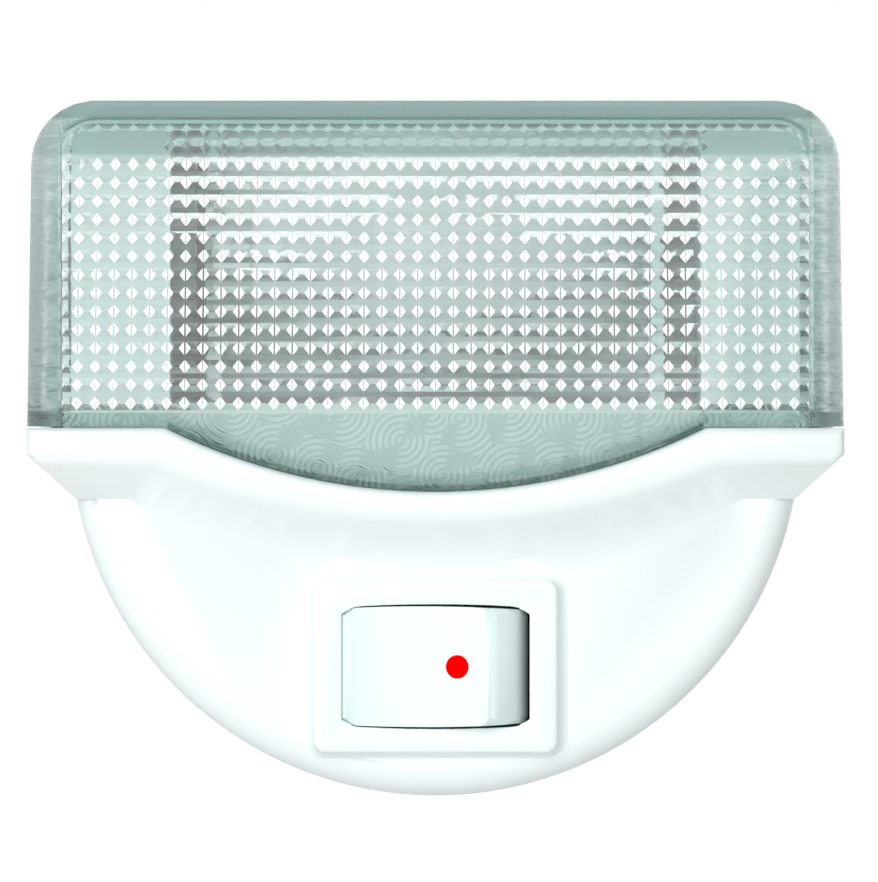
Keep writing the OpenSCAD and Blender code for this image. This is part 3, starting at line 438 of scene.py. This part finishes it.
def pad_fillet():
    """Hollow rounding round the foot of the pad: a section swept round, sunk a little into bowl and pad."""
    core_w, core_h = PAD_HALF_W - PAD_CORNER, PAD_HALF_H - PAD_CORNER
    turns = [math.pi / 2 * k / PAD_FOOT_STEPS for k in range(PAD_FOOT_STEPS + 1)]
    stations = []
    for quarter, (side_x, side_z) in enumerate(((1, 1), (-1, 1), (-1, -1), (1, -1))):
        for turn in turns:
            a = math.pi / 2 * quarter + turn
            stations.append((side_x * core_w, side_z * core_h, math.cos(a), math.sin(a)))
    section = [(PAD_FOOT * (1 - math.sin(a)), PAD_FOOT * (1 - math.cos(a))) for a in turns]
    section += [(-PAD_FOOT_SUNK, PAD_FOOT), (-PAD_FOOT_SUNK, -PAD_FOOT_SUNK), (PAD_FOOT, -PAD_FOOT_SUNK)]

    def place(station, corner):
        core_x, core_z, out_x, out_z = station
        offset, height = corner
        x = core_x + out_x * (PAD_CORNER + offset)
        z = PAD_Z + core_z + out_z * (PAD_CORNER + offset)
        return Vector((x, bowl_depth(x, z) - height, z))

    return swept(stations, section, place, closed=True)


def cover_shell():
    """The front cover with its outer edges and creases rounded."""
    bm = merged_copy("front_cover")

    def level(e, y):
        return all(near(v.co.y, y) for v in e.verts)

    def in_opening(e):
        return all(abs(v.co.x) < OPENING_HALF and abs(v.co.z - PAD_Z) < PAD_HALF_H - MM for v in e.verts)

    def opening_corner(e):
        deep = abs(e.verts[0].co.y - e.verts[1].co.y) > 0.05 * MM
        return in_opening(e) and deep and e.calc_face_angle() < math.radians(60)

    soften(bm, lambda e: level(e, FRONT), LIP_ROUND)
    soften(bm, opening_corner, CORNER_ROUND, sharp=25)
    soften(bm, lambda e: level(e, PAD_FACE) and in_opening(e), OPENING_ROUND, segments=2)
    soften(bm, lambda e: level(e, PAD_FACE) and not in_opening(e), PAD_ROUND)
    add_mesh(bm, pad_fillet())
    return bm


# ---- Rocker ----

def to_circle(start, way, middle, radius, far):
    """Distance from start along way to a circle: to its far or its near side."""
    offset = start - middle
    along = offset.dot(way)
    root = along * along - offset.length_squared + radius * radius
    if root < 0:
        return math.inf
    return -along + math.sqrt(root) if far else -along - math.sqrt(root)


def tilted(flat):
    """A place in the rocker's own plane, with its pins at the origin, as it lies at rest."""
    turned = Matrix.Rotation(-TILT, 2) @ Vector(flat)
    return Vector((turned.x, PIN_Y + turned.y, PAD_Z))


def levelled(place):
    """The rocker's own plane again, from a place as it lies at rest."""
    return Matrix.Rotation(TILT, 2) @ Vector((place.x, place.y - PIN_Y))


def cut_rocker(bm, faces, middle, across):
    """Cuts faces along the plane on the place middle that faces across."""
    geom = set(faces) | {e for f in faces for e in f.edges} | {v for f in faces for v in f.verts}
    bmesh.ops.bisect_plane(bm, geom=list(geom), dist=1e-7, plane_co=tilted(middle),
                           plane_no=tilted(across) - tilted((0, 0)))


def round_over(bm, side, middle, radius, first, last, reach):
    """Rounds an edge along Z of the rocker: cuts it by planes through the rounding's middle, and pulls it in
    to radius. reach(middle, way) is how far the edge's own faces lie from the middle."""
    for k in range(ROUND_STEPS + 1):
        a = first + (last - first) * k / ROUND_STEPS
        cut_rocker(bm, bm.faces[:], (middle.x * side, middle.y), (math.cos(a) * side, math.sin(a)))
    for v in bm.verts:
        flat = levelled(v.co)
        here = Vector((flat.x * side, flat.y)) - middle
        a = math.atan2(here.x, -here.y)
        if first - 1e-4 <= a <= last + 1e-4 and here.length > radius * 0.5:
            way = here.normalized()
            fresh = middle + here * min(1, radius / reach(middle, way))
            place = tilted((fresh.x * side, fresh.y))
            v.co.x, v.co.y = place.x, place.y


def rocker_cap():
    """The rocker with a fine hollow face and with rounded crests and ends."""
    bm = merged_copy("rocker", flat=0)
    bm.normal_update()

    def in_hollow(f):
        return all(near((levelled(v.co) - FACE_MID).length, FACE_R, 0.03 * MM) for v in f.verts)

    inner = [e for e in bm.edges if not any(in_hollow(f) for f in e.link_faces)]
    bmesh.ops.dissolve_limit(bm, angle_limit=math.radians(0.4), verts=[], edges=inner)
    for k in range(1, FACE_STRIPS):
        faces = [f for f in bm.faces if in_hollow(f)]
        cut_rocker(bm, faces, (CREST_X * (2 * k / FACE_STRIPS - 1), 0), (1, 0))
    for v in {v for f in bm.faces if in_hollow(f) for v in f.verts}:
        flat = levelled(v.co) - FACE_MID
        place = tilted(FACE_MID + flat.normalized() * FACE_R)
        v.co.x, v.co.y = place.x, place.y

    # The end's middle lies END_ROUND inside both the outer circle and the broad end
    end_mid = Vector((ROCKER_BROAD - END_ROUND, 0))
    end_mid.y = -math.sqrt((ROCKER_R - END_ROUND) ** 2 - end_mid.x ** 2)
    end_first = math.atan2(end_mid.x, -end_mid.y)

    # The crest's middle lies CREST_ROUND inside both the outer circle and the hollow face
    from_pins, from_face_mid = ROCKER_R - CREST_ROUND, FACE_R + CREST_ROUND
    gap = -FACE_MID.y
    along = (from_pins ** 2 - from_face_mid ** 2 + gap ** 2) / (2 * gap)
    crest_mid = Vector((math.sqrt(from_pins ** 2 - along ** 2), -along))
    crest_first = math.atan2(-crest_mid.x, crest_mid.y - FACE_MID.y)
    crest_last = math.atan2(crest_mid.x, -crest_mid.y)

    def end_reach(middle, way):
        plane = (ROCKER_BROAD - middle.x) / way.x if way.x > 0 else math.inf
        return min(plane, to_circle(middle, way, Vector((0, 0)), ROCKER_R, True))

    def crest_reach(middle, way):
        return min(to_circle(middle, way, FACE_MID, FACE_R, False),
                   to_circle(middle, way, Vector((0, 0)), ROCKER_R, True))

    for side in (-1, 1):
        round_over(bm, side, end_mid, END_ROUND, end_first, math.pi / 2, end_reach)
        round_over(bm, side, crest_mid, CREST_ROUND, crest_first, crest_last, crest_reach)
    return bm


def hollow_normal(face, place):
    """Exact normal of the rocker's hollow face; elsewhere none."""
    if abs(face.normal.z) > 0.5 or not near((levelled(face.center) - FACE_MID).length, FACE_R):
        return Vector()
    way = (FACE_MID - levelled(place)).normalized()
    return tilted(way) - tilted((0, 0))


# ---- Materials ----

def node_material(name):
    material = bpy.data.materials.new(name)
    material.use_nodes = True
    return material, material.node_tree, material.node_tree.nodes["Principled BSDF"]


def object_place(tree):
    return tree.nodes.new("ShaderNodeTexCoord").outputs["Object"]


def stretched(tree, place, scale):
    node = tree.nodes.new("ShaderNodeMapping")
    node.inputs["Scale"].default_value = scale
    tree.links.new(place, node.inputs["Vector"])
    return node.outputs["Vector"]


def noise(tree, place, scale=1, detail=2):
    node = tree.nodes.new("ShaderNodeTexNoise")
    node.inputs["Scale"].default_value = scale
    node.inputs["Detail"].default_value = detail
    tree.links.new(place, node.inputs["Vector"])
    return node.outputs["Fac"]


def combine(tree, operation, first, second=None):
    node = tree.nodes.new("ShaderNodeMath")
    node.operation = operation
    tree.links.new(first, node.inputs[0])
    if second is not None:
        tree.links.new(second, node.inputs[1])
    return node.outputs[0]


def scaled(tree, value, factor):
    node = tree.nodes.new("ShaderNodeMath")
    node.operation = "MULTIPLY"
    tree.links.new(value, node.inputs[0])
    node.inputs[1].default_value = factor
    return node.outputs[0]


def ramp(tree, value, low, high):
    """Rises smoothly from 0 at low to 1 at high."""
    node = tree.nodes.new("ShaderNodeMapRange")
    node.interpolation_type = "SMOOTHSTEP"
    node.inputs["From Min"].default_value = low
    node.inputs["From Max"].default_value = high
    tree.links.new(value, node.inputs["Value"])
    return node.outputs["Result"]


def between(tree, value, low, high):
    """Runs from low to high as value runs from 0 to 1."""
    node = tree.nodes.new("ShaderNodeMapRange")
    node.inputs["To Min"].default_value = low
    node.inputs["To Max"].default_value = high
    tree.links.new(value, node.inputs["Value"])
    return node.outputs["Result"]


def blend(tree, share, first, second):
    """A colour between first and second; each is an output or plain numbers."""
    tones = tree.nodes.new("ShaderNodeMix")
    tones.data_type = "RGBA"
    tree.links.new(share, tones.inputs["Factor"])
    for slot, colour in ((6, first), (7, second)):
        if isinstance(colour, tuple):
            tones.inputs[slot].default_value = (*colour, 1)
        else:
            tree.links.new(colour, tones.inputs[slot])
    return tones.outputs[2]


def darker(colour, share):
    return tuple(c * (1 - share) for c in colour)


def bumped(tree, shader, height, strength, distance):
    bump = tree.nodes.new("ShaderNodeBump")
    bump.inputs["Strength"].default_value = strength
    bump.inputs["Distance"].default_value = distance
    tree.links.new(height, bump.inputs["Height"])
    tree.links.new(bump.outputs["Normal"], shader.inputs["Normal"])


def moulded(name, colour, roughness=0.35, mottle=0.02, grain=0.02, specular=0.5):
    """Moulded plastic: a faint cloudiness in the colour and a fine satin grain."""
    material, tree, shader = node_material(name)
    shader.inputs["IOR"].default_value = 1.5
    shader.inputs["Specular IOR Level"].default_value = specular
    place = object_place(tree)
    cloud = noise(tree, place, CLOUD_SCALE, detail=3)
    tree.links.new(blend(tree, cloud, darker(colour, mottle), colour), shader.inputs["Base Color"])
    tree.links.new(between(tree, cloud, roughness * 0.85, roughness * 1.15), shader.inputs["Roughness"])
    bumped(tree, shader, noise(tree, place, GRAIN_SCALE), grain, GRAIN_DEPTH)
    return material


def rolled(name, colour, roughness=0.3):
    """Rolled or pressed metal: fine streaks and a little tarnish."""
    material, tree, shader = node_material(name)
    shader.inputs["Metallic"].default_value = 1
    place = object_place(tree)
    streaks = noise(tree, stretched(tree, place, STREAK_SCALES))
    tarnish = noise(tree, place, TARNISH_SCALE)
    tree.links.new(blend(tree, tarnish, darker(colour, TARNISH), colour), shader.inputs["Base Color"])
    tree.links.new(between(tree, streaks, roughness * 0.7, roughness * 1.3), shader.inputs["Roughness"])
    bumped(tree, shader, streaks, STREAK_RELIEF, STREAK_DEPTH)
    return material


def lens_parts(tree):
    """Masks of the parts of the lens that carry painted shade, by name."""
    place = object_place(tree)
    split = tree.nodes.new("ShaderNodeSeparateXYZ")
    tree.links.new(place, split.inputs[0])
    y, z = split.outputs["Y"], split.outputs["Z"]
    across = combine(tree, "ABSOLUTE", split.outputs["X"])
    # Brow and front of the roof: painted shade, darkest on the roof, which is also matt
    above = ramp(tree, z, LENS_TOP - BROW_DROP, LENS_TOP - BROW_DROP + RIM_FADE)
    front = ramp(tree, y, FRONT + BROW_FORE + RIM_FADE, FRONT + BROW_FORE)
    high = ramp(tree, z, LENS_TOP - ROOF_DEPTH, LENS_TOP - ROOF_DEPTH + RIM_FADE)
    fore = ramp(tree, y, FRONT + ROOF_FORE + RIM_FADE, FRONT + ROOF_FORE)
    # Skirt and the foot's ends: a light painted shade; the skirt also carries the swirls
    skirt = ramp(tree, z, FIELD_LOW, FIELD_LOW - SKIRT_FADE)
    ends = ramp(tree, across, FOOT_END, FOOT_END + RIM_FADE)

    # Distance from the axis of the scoop, for a painted dark shade line along the foot's edge
    axis = tree.nodes.new("ShaderNodeCombineXYZ")
    tree.links.new(y, axis.inputs["Y"])
    axis.inputs["Z"].default_value = LIP_TOP - SCOOP_DEPTH + SCOOP_R
    from_axis = tree.nodes.new("ShaderNodeVectorMath")
    from_axis.operation = "DISTANCE"
    tree.links.new(place, from_axis.inputs[0])
    tree.links.new(axis.outputs["Vector"], from_axis.inputs[1])
    edge = ramp(tree, from_axis.outputs["Value"], SCOOP_R - EDGE_BAND, SCOOP_R - EDGE_BAND + EDGE_FADE)
    # The side walls carry a light painted shade besides their matt finish and ripples
    return {
        "side": ramp(tree, across, LENS_HALF - RIM_SIDE, LENS_HALF - RIM_SIDE + RIM_FADE),
        "brow": combine(tree, "MULTIPLY", above, front),
        "roof": combine(tree, "MULTIPLY", high, fore),
        "skirt": skirt,
        "foot_edge": combine(tree, "MULTIPLY", skirt, edge),
        "foot_ends": combine(tree, "MULTIPLY", skirt, ends),
    }


def lens_relief(tree, side, skirt):
    """Height of the fine relief of the lens: swirls in the skirt, and ripples in the side walls."""
    place = object_place(tree)
    upright = tree.nodes.new("ShaderNodeMapping")
    upright.inputs["Rotation"].default_value = (-math.pi / 2, 0, 0)
    tree.links.new(place, upright.inputs["Vector"])
    spots = tree.nodes.new("ShaderNodeTexVoronoi")
    spots.voronoi_dimensions = "2D"
    spots.inputs["Scale"].default_value = 1 / SWIRL_SIZE
    tree.links.new(upright.outputs["Vector"], spots.inputs["Vector"])
    turns = scaled(tree, spots.outputs["Distance"], 2 * math.pi * SWIRL_SIZE / SWIRL_PITCH)
    rings = combine(tree, "SINE", turns)
    swirl = combine(tree, "MULTIPLY", scaled(tree, rings, SWIRL_DEPTH), skirt)
    ripples = noise(tree, stretched(tree, place, (1 / RIPPLE_LONG, 1 / RIPPLE_LONG, 1 / RIPPLE_HIGH)))
    return combine(tree, "ADD", swirl, combine(tree, "MULTIPLY", scaled(tree, ripples, RIPPLE), side))


def clear(name, tint, painted_shade_tints, lamp_share, roughness=0.03, matt_roughness=0.35, ior=1.49):
    """Clear moulding: bends what is behind it, and lets the lamps reach what it encloses.
    The colours given for each of lens_parts are painted shade, laid darker over the tint from the lowest layer
    up."""
    material, tree, shader = node_material(name)
    shader.inputs["Transmission Weight"].default_value = 1
    shader.inputs["IOR"].default_value = ior
    parts = lens_parts(tree)
    tones = tint
    # Painted shade: each part's darker colour is blended over the clear tint
    for part, painted_shade_tint in painted_shade_tints.items():
        tones = blend(tree, parts[part], tones, painted_shade_tint)
    tree.links.new(tones, shader.inputs["Base Color"])
    matt = combine(tree, "MAXIMUM", parts["side"], parts["roof"])
    tree.links.new(between(tree, matt, roughness, matt_roughness), shader.inputs["Roughness"])
    bumped(tree, shader, lens_relief(tree, parts["side"], parts["skirt"]), 1, MM)
    path = tree.nodes.new("ShaderNodeLightPath")
    open_way = tree.nodes.new("ShaderNodeBsdfTransparent")
    open_way.inputs["Color"].default_value = (*[c * lamp_share for c in tint], 1)
    mix = tree.nodes.new("ShaderNodeMixShader")
    tree.links.new(path.outputs["Is Shadow Ray"], mix.inputs["Fac"])
    tree.links.new(shader.outputs["BSDF"], mix.inputs[1])
    tree.links.new(open_way.outputs["BSDF"], mix.inputs[2])
    tree.links.new(mix.outputs["Shader"], tree.nodes["Material Output"].inputs["Surface"])
    return material


WHITE = (0.91, 0.972, 0.972)
cover_white = moulded("satin_white_moulding", WHITE)
# The reflector tray is white plastic; its colour is painted grey as the shade inside the lens
tray_painted_shade = moulded("gloss_white_tray_painted_shade", (0.54, 0.63, 0.62), roughness=0.25)
rocker_white = moulded("polished_white_rocker", (0.82, 0.945, 0.94), roughness=0.2)
dot_red = moulded("red_inlay", (0.95, 0.0, 0.0), roughness=0.3, specular=0.0)
switch_black = moulded("black_switch_frame", (0.02, 0.02, 0.022), roughness=0.4)
# The first colour is the moulding's own tint; the part colours after it are painted shade
lens_clear = clear("clear_prism_moulding", (0.93, 0.985, 0.98), lamp_share=0.62, painted_shade_tints={
    "side": (0.86, 0.985, 0.965), "brow": (0.55, 0.7, 0.68), "roof": (0.17, 0.28, 0.27),
    "skirt": (0.85, 0.935, 0.925), "foot_edge": (0.45, 0.6, 0.58), "foot_ends": (0.84, 0.95, 0.93)})
bulb_opal = moulded("opal_bulb_glass", (0.5, 0.56, 0.55), roughness=0.3)
strip_tin = rolled("tinned_strip_brass", (0.5, 0.55, 0.54), roughness=0.4)
blade_brass = rolled("blade_brass", (0.75, 0.58, 0.3), roughness=0.22)
spring_steel = rolled("spring_steel", (0.6, 0.6, 0.6))
rivet_steel = rolled("rivet_steel", (0.62, 0.62, 0.6))
screw_steel = rolled("screw_steel", (0.55, 0.55, 0.56))
base_nickel = rolled("nickel_base", (0.5, 0.55, 0.54), roughness=0.45)
solder_grey = rolled("solder_tip", (0.5, 0.5, 0.5), roughness=0.4)
lead_wire = rolled("lead_wire", (0.5, 0.45, 0.4))
filament_grey = rolled("tungsten_filament", (0.15, 0.15, 0.16), roughness=0.5)
base_black = moulded("black_base_glass", (0.01, 0.01, 0.012), roughness=0.15)
fibre_grey = moulded("grey_fibre_sheet", (0.05, 0.065, 0.062), roughness=0.7, mottle=0.2, grain=0.3)
socket_grey = moulded("grey_socket_moulding", (0.1, 0.12, 0.12), roughness=0.45)

FINISHES = {
    "back_housing": cover_white, "front_cover": cover_white, "reflector": tray_painted_shade,
    "rocker": rocker_white, "rocker_dot": dot_red, "plunger": strip_tin, "plunger_spring": spring_steel,
    "switch_frame": switch_black, "seesaw_contact": strip_tin, "common_terminal": strip_tin,
    "lamp_terminal": strip_tin, "hot_blade": blade_brass, "neutral_blade": blade_brass,
    "hot_strip": strip_tin, "neutral_strip": strip_tin, "lamp_strip": strip_tin,
    "strip_rivets": rivet_steel, "insulating_barrier": fibre_grey, "socket_body": socket_grey,
    "socket_shell": strip_tin, "centre_contact": strip_tin, "bulb_glass": bulb_opal,
    "bulb_stem": bulb_opal, "bulb_lead_wires": lead_wire, "bulb_filament": filament_grey,
    "base_shell": base_nickel, "base_insulator": base_black, "base_contact": solder_grey,
    "case_screws": screw_steel, "lens": lens_clear,
}
for node, material in FINISHES.items():
    mesh = NODES[node].data
    for index in range(len(mesh.materials)):
        mesh.materials[index] = material

finish_piece("cover_shell", cover_shell(), cover_white, "housing", "front_cover")
finish_piece("lens_cover", lens_cover(), lens_clear, "lens", "lens", smooth=20)
finish_piece("rocker_cap", rocker_cap(), rocker_white, "rocker", "rocker",
             normal_at=hollow_normal)


# ---- Stage, light and camera ----

def paint_world():
    """White where it is seen, mirrored or seen through a clear part, and a softer light elsewhere."""
    world = bpy.data.worlds.new("studio")
    bpy.context.scene.world = world
    world.use_nodes = True
    tree = world.node_tree
    soft = tree.nodes["Background"]
    soft.inputs["Color"].default_value = (0.97, 1.0, 1.0, 1)
    soft.inputs["Strength"].default_value = 0.38
    seen = tree.nodes.new("ShaderNodeBackground")
    seen.inputs["Color"].default_value = (1, 1, 1, 1)
    path = tree.nodes.new("ShaderNodeLightPath").outputs
    seen_or_mirrored = combine(tree, "MAXIMUM", path["Is Camera Ray"], path["Is Glossy Ray"])
    mix = tree.nodes.new("ShaderNodeMixShader")
    tree.links.new(combine(tree, "MAXIMUM", seen_or_mirrored, path["Is Transmission Ray"]), mix.inputs["Fac"])
    tree.links.new(soft.outputs[0], mix.inputs[1])
    tree.links.new(seen.outputs[0], mix.inputs[2])
    tree.links.new(mix.outputs[0], tree.nodes["World Output"].inputs["Surface"])


def lamp(name, place, size, power):
    """A square lamp that faces the origin and isn't seen through clear parts."""
    data = bpy.data.lights.new(name, "AREA")
    data.size = size
    data.energy = power
    obj = bpy.data.objects.new(name, data)
    obj.location = place
    obj.rotation_euler = (-Vector(place)).to_track_quat("-Z", "Y").to_euler()
    obj.visible_transmission = False
    bpy.context.scene.collection.objects.link(obj)


def floor():
    radius, drop = 0.35, 25 * MM
    bm = bmesh.new()
    bmesh.ops.create_circle(bm, cap_ends=True, radius=radius, segments=96)
    bmesh.ops.translate(bm, verts=bm.verts, vec=(0, 0, CASE_LOW - drop))
    mesh = bpy.data.meshes.new("floor")
    bm.to_mesh(mesh)
    bm.free()
    obj = bpy.data.objects.new("floor", mesh)
    bpy.context.scene.collection.objects.link(obj)
    mesh.materials.append(moulded("pale_floor", (0.9, 0.9, 0.9), roughness=0.8))


def camera():
    """Straight in front, and far enough off for an almost parallel view."""
    distance, frame_width = 0.9, 77.02 * MM
    sensor_width = 36
    aim_x, aim_z = 0.31 * MM, 7.86 * MM
    data = bpy.data.cameras.new("camera")
    obj = bpy.data.objects.new("camera", data)
    bpy.context.scene.collection.objects.link(obj)
    data.sensor_fit = "HORIZONTAL"
    data.sensor_width = sensor_width
    data.lens = sensor_width * distance / frame_width
    data.clip_start = 0.01
    data.clip_end = 10
    obj.location = (aim_x, FRONT - distance, aim_z)
    obj.rotation_euler = (math.pi / 2, 0, 0)
    bpy.context.scene.camera = obj


def light_paths():
    """Room for the many reflections inside the walls of the lens."""
    cycles = bpy.context.scene.cycles
    cycles.max_bounces = 24
    cycles.glossy_bounces = 20
    cycles.transmission_bounces = 20
    cycles.transparent_max_bounces = 24


paint_world()
lamp("key", (-0.34, -0.93, 0.28), 0.9, 7.2)
lamp("fill", (0.5, -0.75, 0.0), 0.6, 0.2)
lamp("top", (0, 0.05, 0.7), 0.5, 0.9)
lamp("rear", (0.3, 0.7, 0.3), 0.5, 1.2)
floor()
camera()
light_paths()

bpy.context.scene.view_settings.view_transform = "Standard"
